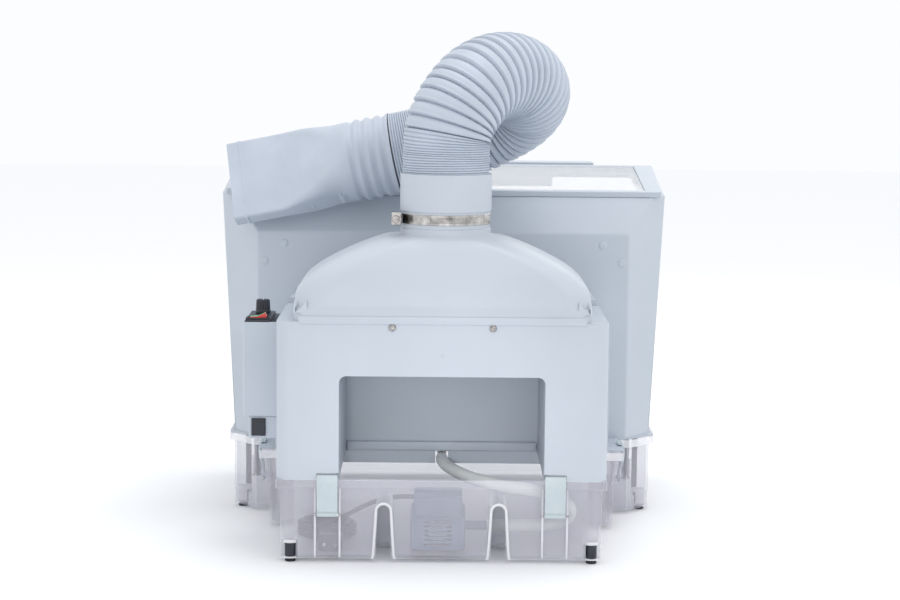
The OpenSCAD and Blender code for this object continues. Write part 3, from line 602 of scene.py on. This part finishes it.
def makeNozzle():
    stations = []
    t = 0.5
    bandAt = nozzle["length"] - 13
    while t < nozzle["length"]:
        swell = 0.0
        if 1.5 < t < nozzle["round"] - 0.5:  # four waves for grip
            swell = 1.3 * (math.cos((t - 1.5) / 10.75 * 2 * math.pi) - 1)
        raised = 0.9 * max(0.0, 1 - ((t - bandAt) / 1.6) ** 2)
        stations.append((t, swell + raised))
        fine = t < nozzle["round"] + 2 or abs(t - bandAt) < 4
        t += 0.8 if fine else 3
    stations.append((nozzle["length"], 0.0))
    outer = [nozzleRing(t, 0, s) for t, s in stations]
    lip = nozzle["length"]
    outer += [nozzleRing(lip, 0.5, 0)]
    inner = [nozzleRing(t, nozzle["wall"] + (0.4 if t == lip else 2.4 if t < 50 else 0.0), 0)
             for t in [lip, 154, 138, 121, 112, 100, 90, 82, 74, 66, 58, 52, 45, 30]]
    inner += [nozzleRing(8, nozzle["wall"] + 3, 0)]
    shell = outer + inner + [nozzleRing(0.5, 1.5)]
    return addPiece("window_nozzle", loftMesh("window_nozzle", shell, False, False),
                    ductPlastic, slot="duct_plastic", replaces=("duct_nozzle",), crease=28)


ductPiece, ductPath, ductLength = makeDuct()
nozzlePiece = makeNozzle()
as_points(ductPath)
print("duct length", round(ductLength, 4))

waterTube = {
    "route": [
        (0, 146, 73), (1, 132, 73), (5, 115, 72), (12, 97, 71), (21, 79, 70), (33, 60, 69.5),
        (47, 42, 69), (64, 28, 68.5), (84, 20, 68), (103, 22, 63), (117, 32, 54), (123, 46, 43),
        (120, 60, 32), (109, 70, 25), (92, 73, 22), (72, 73, 22), (44, 72, 22),
    ],
    "diameter": 12,
}
tubeLine, tubeLength = smoothLine([at(*p) for p in waterTube["route"]], 6 * mm)
tubePiece = curvePiece("water_hose", tubeLine, waterTube["diameter"] / 2 * mm, tubeSilicone,
                       replaces=("water_tube",))
print("tube length", round(tubeLength, 4))

pumpLead = {
    "route": [
        (-26, 70, 50), (-40, 70, 50), (-54, 70, 48), (-66, 70, 44), (-77, 70, 39), (-88, 70, 33),
        (-98, 70, 28), (-107, 70, 24.5),
    ],
    "diameter": 4.4, "coil": (-112, 92), "coilRadius": 22.5, "turns": 6, "floor": 10.0,
}


def leadLine():
    points = [at(*p) for p in pumpLead["route"]]
    cx, cd = pumpLead["coil"]
    r = pumpLead["coilRadius"]
    start = math.radians(-78)
    steps = 20
    total = pumpLead["turns"] * steps
    for k in range(1, total + 1):
        a = start - 2 * math.pi * k / steps
        layer = k / steps
        lane = 4.6 * (layer % 2 - 0.5)  # turns lie beside and on each other
        height = 22 - 2.3 * min(layer, 5.2)
        points.append(at(cx + (r + lane * 0.9) * math.cos(a), cd + (r + lane * 0.9) * math.sin(a), height))
    return points


leadPoints = leadLine()
leadPoints += [at(-121, 66, 10), at(-113, 62, 13), at(-106, 60.5, 15)]
leadCurve, leadLength = smoothLine(leadPoints, 3 * mm)
leadPiece = curvePiece("pump_lead", leadCurve, pumpLead["diameter"] / 2 * mm, blackShell,
                       replaces=("pump_cord", "pump_cord_coil"))


def makeRelief():
    # ribbed cone over the lead where it enters the plug
    outline = [(0, 0), (5, 0)]
    for k in range(7):
        height, radius = 1.5 + 2.6 * k, 5 - 0.29 * k
        outline += [(radius, height), (radius, height + 1.4),
                    (radius - 0.9, height + 1.7), (radius - 0.9, height + 2.3)]
    outline += [(2.6, 19.9), (0, 20)]
    relief = turned("plug_strain_relief", outline, at(-104, 41, 15.5), (0, 1, 0), 32)
    return addPiece("plug_strain_relief", relief,
                    blackShell, slot="black_plastic", replaces=("plug_relief",))


def makePlug():
    # two-pin low voltage plug with a waisted grip
    rings = []
    for depth, grow in ((19, -0.8), (19.6, 0), (26, 0), (29, -1.0),
                        (34, -1.4), (38, -0.6), (40.4, -0.2), (41, -1)):
        rings.append([at(-104 + u, depth, 15.5 + v) for u, v in boxRing(11, 8, 3, 5, grow)])
    body = addPiece("pump_plug_body", loftMesh("pump_plug_body", rings), blackShell, slot="black_plastic",
                    replaces=("pump_plug",))
    for i, x in enumerate((-109, -99)):
        pin = [(0, 0), (2, 0), (2, 7.6), (1.4, 8.6), (0, 9)]
        piece = addPiece(f"plug_pin_{i + 1}", turned("plugPin", pin, at(x, 19.5, 15.5), (0, -1, 0), 24),
                         nickelWithPaintedReflection, slot="bright_steel")
        piece.parent = body
        piece.matrix_parent_inverse = Matrix.Identity(4)
    return body


reliefPiece, plugPiece = makeRelief(), makePlug()
print("lead length", round(leadLength, 4))

# ---------- tank, feet and latches

def broad(limit):
    # convex edges between two faces of at least limit square centimetres
    def test(middle, edge):
        return edge.is_convex and min(f.calc_area() for f in edge.link_faces) > limit * 1e-4
    return test


def tankFaces(piece):
    # thick or edge-on stretches of the frosted plastic look whiter, so they get the denser look
    spots = piece.data.vertices
    for face in piece.data.polygons:
        corners = [spots[i].co for i in face.vertices]
        sizes = sorted(max(c[k] for c in corners) - min(c[k] for c in corners) for k in range(3))
        narrow = sizes[1] < 3.2 * mm
        rim = face.center.z > 0.0705 and abs(face.normal.z) < 0.5
        face.material_index = 1 if narrow or rim else 0


tankPiece = softCopy("tank_tray", "water_tank", [(1.2, 3, broad(6)), (0.5, 2, anyEdge)],
                     [tankSheet, tankEdge], "tank_plastic")
tankFaces(tankPiece)

channelBead = {"x": 53.7, "foot": 9.0, "head": 7.0, "top": 56.2, "bottom": 5.0, "depth": 7.2, "radius": 1.3}


def makeChannelBead(side, name):
    # raised bead round the mouth of an arched channel
    b = channelBead
    outline = [(-b["foot"] - 2.5, b["bottom"]), (-b["foot"] - 0.6, b["bottom"] + 3.5)]
    for k in range(11):
        a = math.pi - math.pi * k / 10
        outline.append((b["head"] * math.cos(a), b["top"] - b["head"] + b["head"] * math.sin(a)))
    outline += [(b["foot"] + 0.6, b["bottom"] + 3.5), (b["foot"] + 2.5, b["bottom"])]
    line = [at(side * b["x"] + x, b["depth"], z) for x, z in outline]
    line, _ = smoothLine(line, 1.5 * mm)
    rings = []
    for p, _, across, rise in framesAlong(line, (0, 1, 0)):
        rings.append([p + b["radius"] * mm * (math.cos(a) * across + math.sin(a) * rise)
                      for a in [2 * math.pi * j / 10 for j in range(10)]])
    return addPiece(name, loftMesh(name, rings), tankEdge, slot="tank_plastic")


makeChannelBead(-1, "channel_bead_left")
makeChannelBead(1, "channel_bead_right")

for i in range(1, 7):
    low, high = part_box(f"foot_{i}")
    middle = (low + high) / 2
    outline = [(0, 0), (4.4, 0), (5, 0.5), (5, 1.7), (4.6, 2.2), (3.9, 2.4), (3.7, 3.4), (3.3, 4.4),
               (3, 4.9), (3, 16.9), (2.6, 17.4), (0, 17.4)]
    base = Vector((middle.x, middle.y, low.z))
    addPiece(f"levelling_foot_{i}", turned("foot", outline, base), softRubber, f"foot_{i}", "foot_rubber",
             (f"foot_{i}",))

latch = {
    "width": 19.5, "pin": (4.6, 46), "eye": 2.3,
    "flatOuter": [(1.6, 49.5), (1.2, 54), (0.6, 60), (0.1, 66), (0, 72), (0, 82.6), (0.5, 83.7), (1.5, 84.1),
                  (6.6, 84.1), (7, 83.6)],
    "flatInner": [(7, 81.9), (6.5, 81.5), (2.9, 81.5), (2.2, 80.8), (2.1, 72), (2.3, 65), (3.0, 57),
                  (4.2, 50.2)],
    "bentOuter": [(2.9, 49), (3.7, 52), (3.6, 56), (2.2, 61), (0.7, 66), (0, 71), (0, 77), (0.6, 81.5),
                  (2.2, 84.1), (7, 84.1)],
    "bentInner": [(7, 82.4), (3.2, 82.3), (2, 80), (1.4, 76), (1.4, 71), (2.1, 67), (3.6, 62), (5, 57),
                  (5.2, 52), (5.1, 49)],
}


def latchProfile(bent):
    # side view of a latch as (inward, height): face and hook, then the leg, then the eye round the pin
    outer = latch["bentOuter" if bent else "flatOuter"]
    inner = latch["bentInner" if bent else "flatInner"]
    px, pz = latch["pin"]
    eye = [(px + latch["eye"] * math.cos(a), pz + latch["eye"] * math.sin(a))
           for a in [math.radians(60 - 290 * k / 16) for k in range(17)]]
    return outer + inner + eye


def makeLatch(name, node, origin, turnDegrees, bent=False):
    # origin is the foot of the latch's outer face on the ground
    profile = latchProfile(bent)
    half = latch["width"] / 2
    turnRound = Matrix.Rotation(math.radians(turnDegrees), 3, "Z")
    rings = []
    for x, inset in ((-half, 0.35), (-half + 0.35, 0), (half - 0.35, 0), (half, 0.35)):
        middleX = sum(p[0] for p in profile) / len(profile)
        ring = []
        for u, z in profile:
            pull = inset * (1 if u < middleX else -1)
            ring.append(origin + turnRound @ Vector((x * mm, (u + pull) * mm, z * mm)))
        rings.append(ring)
    build = bmesh.new()
    loft = loftMesh(name, rings)
    build.from_mesh(loft)
    bmesh.ops.triangulate(build, faces=[f for f in build.faces if len(f.verts) > 4], ngon_method="EAR_CLIP")
    build.to_mesh(loft)
    build.free()
    return addPiece(name, loft, clipAcetal, node, "latch_plastic", (node,), 30)


makeLatch("rear_latch_left", "latch_back_left", at(-106, 0, 0), 0)
makeLatch("rear_latch_right", "latch_back_right", at(106, 0, 0), 0)
makeLatch("side_latch_left", "latch_side_left", at(-185, 186, 0), -90, True)
makeLatch("side_latch_right", "latch_side_right", at(185, 186, 0), 90, True)
for side in (-1, 1):
    for i, x in enumerate((94.5, 117.5)):  # ribs that the latch's pin goes through
        rib = f"pin_rib_{'left' if side < 0 else 'right'}_{i + 1}"
        roundedSlab(rib, (side * x - 0.95, 5.9, 5.2), (side * x + 0.95, 7.5, 70.8), 0.4,
                    tankEdge, "tank_plastic")
print("tank ready")


# ---------- fan housing, air channel and hood

def isHousingTop(middle, edge):
    # the long level edges round the top of the housing, without the slots and the seat of the dome
    nearBack = middle.y < backFace + 0.012
    onEdge = abs(middle.x) > 0.141 or middle.y < backFace + 0.0045
    level = abs(edge.verts[0].co.z - edge.verts[1].co.z) < 1e-5
    wide = min(f.calc_area() for f in edge.link_faces) > 3e-6
    outside = abs(middle.x) > 0.13 or nearBack
    return edge.is_convex and middle.z > 0.2262 and outside and wide and level and onEdge


softCopy("fan_casing", "fan_housing", [(3.2, 5, isHousingTop), (1.4, 3, broad(12)), (0.4, 2, anyEdge)],
         shellAbs, "shell_plastic", crease=40)
softCopy("rear_air_channel", "air_channel", [(0.4, 2, anyEdge)], shellAbs, "shell_plastic", crease=40)

hoodRim = 0.205  # past this the hood's walls end in a rim one wall thick, under the mouth frame
rimReach = 0.006  # how far past it a long corner may still run


def isHoodCorner(middle, edge):
    # a radius wider than the rim would fold its face over the mouth
    farEnd = max(v.co.y for v in edge.verts)
    return middle.y < hoodRim and farEnd < hoodRim + rimReach and broad(20)(middle, edge)


def isHoodEdge(middle, edge):
    return edge.is_convex and max(v.co.y for v in edge.verts) < hoodRim


softCopy("hood_shell", "booth_hood", [(5.0, 6, isHoodCorner), (0.5, 2, isHoodEdge)],
         shellAbs, "shell_plastic", crease=40)
softCopy("hood_top_frame", "top_frame", [(1.0, 3, broad(1)), (0.4, 2, anyEdge)], shellAbs, "shell_plastic")
softCopy("hood_mouth_frame", "mouth_frame", [(2.5, 4, broad(4)), (0.5, 2, anyEdge)],
         shellAbs, "shell_plastic")
softCopy("lamp_top_cover", "lamp_cover", [(1.2, 3, anyEdge)], shellAbs, "shell_plastic")
softCopy("lamp_tray", "lamp_housing", [(1.0, 3, broad(4)), (0.4, 2, anyEdge)], shellAbs, "shell_plastic")
softCopy("control_case", "control_box", [(2.6, 5, broad(8)), (0.5, 2, anyEdge)], shellAbs, "shell_plastic")
softCopy("jack_bracket", "socket_bracket", [(0.8, 3, anyEdge)], shellAbs, "shell_plastic")


roundedSlab("bay_ledge", (-94.5, 146.2, 80.4), (94.5, 150.4, 89.8), 1.6, shellAbs, "shell_plastic", 4)
roundedSlab("housing_lip", (-133, 1.9, 225), (133, 4, 232.4), 0.7, shellAbs, "shell_plastic")

boss = {"radius": 4.4, "height": 0.9}
for i, (x, z) in enumerate(((-163, 280), (163, 280), (-183, 262), (183, 262))):
    crown = [(boss["radius"] * math.cos(a), boss["height"] * math.sin(a))
             for a in [math.pi / 2 * k / 6 for k in range(6)]]
    dome = [(0, -0.5), (boss["radius"], -0.5)] + crown + [(0, boss["height"])]
    addPiece(f"hood_boss_{i + 1}", turned("boss", dome, at(x, 225, z), (0, -1, 0), 32),
             shellAbs, slot="shell_plastic")
gate = [(0, -0.4), (1.5, -0.4), (1.5, 0.15), (0.9, 0.5), (0.5, 0.35), (0, 0.3)]
addPiece("gate_mark", turned("gate", gate, at(0, 3, 196), (0, -1, 0), 20), shellAbs, slot="shell_plastic")
print("shells ready")


# ---------- dome, cuff and clamp

cover = {
    "base": 235.5, "crown": 304, "wall": 2.5, "middle": 75, "levels": 34,
    "sections": [  # half width, half depth and share of the rise
        (138, 74, 0), (138, 73, 0.15), (136.5, 72, 0.27), (131, 70.5, 0.39), (120.5, 68.5, 0.52),
        (107, 65.5, 0.64), (90, 61, 0.77), (73, 55.5, 0.88), (56, 48.5, 0.97), (42, 42.5, 1),
    ],
    "collar": 43, "spigot": 40.5,
}


def coverLine():
    # the dome's sections, evened out along its slope
    points = [Vector(p[:2] + (p[2] * (cover["crown"] - cover["base"]),)) for p in cover["sections"]]
    line, _ = smoothLine(points, 4.2)
    return line


def coverRing(section, inset):
    x, y, rise = section
    share = rise / (cover["crown"] - cover["base"])
    r = 25.5 + 10 * share
    z = cover["base"] + rise - inset * share
    return [at(u, cover["middle"] + v, z) for u, v in boxRing(x - inset, y - inset, min(r, y - inset), 12)]


def roundRing(radius, z):
    return [at(2 + u, cover["middle"] + v, z) for u, v in boxRing(radius, radius, radius, 12)]


def plateRing(x, y, r, z):
    return [at(u, cover["middle"] + v, z) for u, v in boxRing(x, y, r, 12)]


def makeCover():
    line = coverLine()
    rings = [plateRing(138, 72, 12, 227), plateRing(138, 72, 12, 235), plateRing(137.6, 72, 12, 235.5)]
    rings += [coverRing(p, 0) for p in line[1:-4]]
    rings += [roundRing(cover["collar"] + 2.2, 303.4), roundRing(cover["collar"] + 0.5, 304.4),
              roundRing(cover["collar"], 306), roundRing(cover["collar"], 309.4),
              roundRing(cover["collar"] - 0.6, 310), roundRing(cover["spigot"], 310),
              roundRing(cover["spigot"], 343.6), roundRing(cover["spigot"] - 0.5, 344),
              roundRing(38.5, 344), roundRing(38, 343.5), roundRing(38, 290)]
    rings += [coverRing(p, cover["wall"]) for p in line[-10:1:-2]]
    rings += [plateRing(135.5, 69.5, 10, 235.5), plateRing(135.5, 69.5, 10, 227)]
    return addPiece("fan_dome", loftMesh("fan_dome", rings, closed=True), shellAbs, slot="shell_plastic",
                    replaces=("duct_dome",), crease=32)


def makeGusset(name, x, depth, sideways):
    # thin triangular fin between the dome's end and its flange
    side = 1 if x > 0 else -1
    if sideways:
        corners = [(x, depth, 235.2), (x - side * 13, depth, 235.2),
                   (x - side * 11, depth, 247), (x - side * 6, depth, 238.5)]
        thick = Vector((0, 1.1 * mm, 0))
    else:
        corners = [(x, depth - 1, 235.2), (x, depth + 12, 235.2),
                   (x, depth + 11, 245), (x, depth + 4, 238)]
        thick = Vector((1.1 * mm, 0, 0))
    ring = [at(*c) for c in corners]
    sides = [[p - thick / 2 for p in ring], [p + thick / 2 for p in ring]]
    return addPiece(name, loftMesh(name, sides), shellAbs, slot="shell_plastic")


makeCover()
for i, (x, depth) in enumerate(((-137, 4.4), (137, 4.4), (-137, 145.6), (137, 145.6))):
    makeGusset(f"dome_gusset_{i + 1}", x, depth, True)
    makeGusset(f"dome_fin_{i + 1}", x, depth, False)

cuffOutline = [(41.8, 310), (42, 310.3), (42, 325.2), (43.1, 326.2), (43.4, 327.6), (43.5, 353),
               (43.5, 359.9), (43.1, 360.8), (42.3, 361), (42, 360), (41.9, 346), (40.6, 345), (40.6, 310)]
cuffRings = [[at(2 + r * math.cos(2 * math.pi * j / 128), 75 + r * math.sin(2 * math.pi * j / 128), z)
              for j in range(128)] for r, z in cuffOutline]
addPiece("duct_cuff_ring", loftMesh("duct_cuff_ring", cuffRings, closed=True), shellAbs, slot="duct_plastic",
         replaces=("duct_cuff",), crease=32)

band = {"radius": 42.75, "low": 314, "high": 323.6, "slotLow": 316.2, "slotHigh": 321.4, "columns": 704}


def bandRadius(column, z):
    # worm slots are pressed into the middle of the band round its near side
    fromSlots = (360 * column / band["columns"] + 60 + 180) % 360 - 180
    slotted = abs(fromSlots) < 50 and column * 5 % 20 < 10
    return band["radius"] - (0.5 if slotted and band["slotLow"] < z < band["slotHigh"] else 0)


bandRings = []
for z in (314, 314.3, 316.1, 316.3, 321.3, 321.5, 323.3, 323.6):
    edge = 0.25 if z in (band["low"], band["high"]) else 0
    bandRings.append([at(2 + (bandRadius(j, z) - edge) * math.cos(2 * math.pi * j / band["columns"]),
                         75 + (bandRadius(j, z) - edge) * math.sin(2 * math.pi * j / band["columns"]), z)
                      for j in range(band["columns"])])
for z in (band["high"], band["low"]):
    bandRings.append([at(2 + 42.02 * math.cos(2 * math.pi * j / band["columns"]),
                         75 + 42.02 * math.sin(2 * math.pi * j / band["columns"]), z)
                      for j in range(band["columns"])])
addPiece("hose_clamp_band", loftMesh("hose_clamp_band", bandRings, closed=True),
         stainlessWithPaintedReflection, slot="bright_steel", replaces=("clamp_band",), crease=30)
softCopy("worm_housing", "clamp_housing", [(0.8, 3, anyEdge)], nickelWithPaintedReflection, "bright_steel")


def makeWorm():
    # threaded worm with a hexagon head, turning in its housing
    centre = at(-45, 51, 318.8)
    rings = []
    head = [(0.0, -6), (3.3, -6), (3.9, -5.5), (3.9, -0.9), (3.4, -0.5)]
    for radius, height in head:
        ring = []
        for j in range(72):
            a = 2 * math.pi * j / 72
            hexagon = math.cos(math.pi / 6) / math.cos((a + math.pi / 6) % (math.pi / 3) - math.pi / 6)
            ring.append(centre + Vector((radius * hexagon * math.cos(a) * mm, height * mm,
                                         radius * hexagon * math.sin(a) * mm)))
        rings.append(ring)
    for k in range(61):
        height = -0.4 + 15 * k / 60
        ring = []
        for j in range(72):
            a = 2 * math.pi * j / 72
            wave = abs(((height / 2.0 + a / (2 * math.pi)) % 1) * 2 - 1)
            radius = 2.5 + 0.72 * wave if 0.6 < height < 13.8 else 2.5
            ring.append(centre + Vector((radius * math.cos(a) * mm, height * mm, radius * math.sin(a) * mm)))
        rings.append(ring)
    return addPiece("clamp_worm", loftMesh("clamp_worm", rings), nickelWithPaintedReflection, "clamp_screw", "bright_steel",
                    ("clamp_screw",), 30)


makeWorm()
screwHead = [(0, 0.4), (3.4, 0.4), (3.5, 0), (3.45, -0.5), (3.1, -1.3),
             (2.3, -2.0), (1.5, -2.3), (1.3, -1.6), (0, -1.5)]
for i, x in enumerate((-46.5, 46.5)):
    head = turned("screw", [(r, -h) for r, h in screwHead], at(x, 3, 222), (0, -1, 0), 40)
    piece = addPiece(f"dome_screw_{i + 1}", head,
                     nickelWithPaintedReflection, slot="bright_steel", replaces=("dome_screws",) if i == 0 else ())
print("dome ready")


# ---------- controls

softCopy("switch_plate", "control_plate", [(0.5, 2, anyEdge)], blackShell, "black_plastic")
softCopy("rocker_bezel", "rocker_frame", [(0.5, 2, anyEdge)], blackShell, "black_plastic")
softCopy("power_jack_block", "power_socket", [(0.5, 2, anyEdge)], blackShell, "black_plastic")
rockerPiece = softCopy("rocker_cap", "rocker_button", [(0.35, 2, anyEdge)], [redLens, greenLens],
                       "rocker_red", "rocker_button")
for face in rockerPiece.data.polygons:
    face.material_index = 1 if face.normal.z > 0.75 else 0

knob = {"centre": (-175, 115, 221.6), "flutes": 18}


def makeKnob():
    # fluted, slightly tapered knob with a skirt
    rings = []
    for radius, height, flute in ((0, 0, 0), (7.3, 0, 0), (7.5, 0.3, 0), (7.5, 2.0, 0), (7.1, 2.5, 0.0),
                                  (6.95, 2.9, 0.5), (6.6, 11.9, 0.5), (6.2, 12.7, 0.3),
                                  (5.6, 13, 0.1), (5.0, 12.6, 0), (0, 12.6, 0)):
        ring = []
        for j in range(144):
            a = 2 * math.pi * j / 144
            r = radius - flute * (0.5 + 0.5 * math.cos(knob["flutes"] * a)) ** 2
            ring.append(at(knob["centre"][0] + r * math.cos(a), knob["centre"][1] + r * math.sin(a),
                           knob["centre"][2] + height))
        rings.append(ring)
    body = addPiece("speed_dial", loftMesh("speed_dial", rings), blackShell, "speed_knob", "black_plastic",
                    ("speed_knob",), 30)
    mark = roundedSlab("dial_pointer", (-175.5, 116.5, 234.0), (-174.5, 121.4, 234.65), 0.15,
                       dialInk, "black_plastic", 2)
    mark.parent = body
    mark.matrix_parent_inverse = Matrix.Identity(4)
    return body


makeKnob()
print("controls ready")


# ---------- pump

softCopy("pump_case", "pump_body", [(1.6, 4, broad(2)), (0.4, 2, anyEdge)], pumpBody, "pump_plastic")
softCopy("pump_grille", "pump_cover", [(0.5, 2, anyEdge)], pumpBody, "pump_plastic")


def makeSieve():
    # two rows of black dots round the suction grille: painted shade standing in for its drilled holes
    build = bmesh.new()
    columns, rows, pitch = 17, 10, 2.7
    for i in range(columns):
        for j in range(rows):
            if 1 < i < columns - 2 and 1 < j < rows - 2:
                continue
            x = -3 + (i - (columns - 1) / 2) * pitch
            z = 24 + (j - (rows - 1) / 2) * pitch
            place = Matrix.Translation(at(x, 17.8, z)) @ Matrix.Rotation(math.pi / 2, 4, "X")
            # each black dot is painted shade where a drilled hole is
            bmesh.ops.create_cone(build, cap_ends=True, segments=10, radius1=0.75 * mm, radius2=0.55 * mm,
                                  depth=0.5 * mm, matrix=place)
    mesh = bpy.data.meshes.new("pump_sieve")
    build.to_mesh(mesh)
    build.free()
    return addPiece("pump_sieve", mesh, blackShell, slot="black_plastic")


makeSieve()


# ---------- what is left keeps its CAD shape, with eased edges

rest = {  # CAD node: material, slot, edge radius
    "foot_barrels": (blackShell, "black_plastic", 0.5), "latch_pins": (nickelWithPaintedReflection, "bright_steel", 0.2),
    "lamp_board": (boardMask, "circuit_board", 0.2), "lamp_lens": (opalSheet, "lamp_lens", 0.4),
    "fan_frames": (blackShell, "black_plastic", 0.8), "fan_screws": (nickelWithPaintedReflection, "bright_steel", 0.4),
    "speed_pot": (stainlessWithPaintedReflection, "bright_steel", 0.3), "speed_board": (boardMask, "circuit_board", 0.2),
    "curtain_plate": (stainlessWithPaintedReflection, "bright_steel", 0.3), "water_trough": (shellAbs, "shell_plastic", 0.6),
    "riser_pipe": (tubeSilicone, "tube_silicone", 0.5), "work_grille": (shellAbs, "shell_plastic", 0.6),
    "grille_feet": (blackShell, "black_plastic", 0.5), "pump_cups": (softRubber, "black_plastic", 0.4),
    "pump_rotor": (shellAbs, "rotor_plastic", 0.2), "top_window": (clearSheet, "clear_sheet", 0.4),
    "fan_rotor_left": (blackShell, "rotor_plastic", 0.4),
    "fan_rotor_right": (blackShell, "rotor_plastic", 0.4),
}
bodyOf = {node: body for body, members in frame["record"]["behaviour"]["bodies"].items() for node in members}
for node, (material, slotName, radius) in rest.items():
    softCopy(node + "_part", node, [(radius, 2, anyEdge)], material, slotName, bodyOf[node])
print("inside ready")
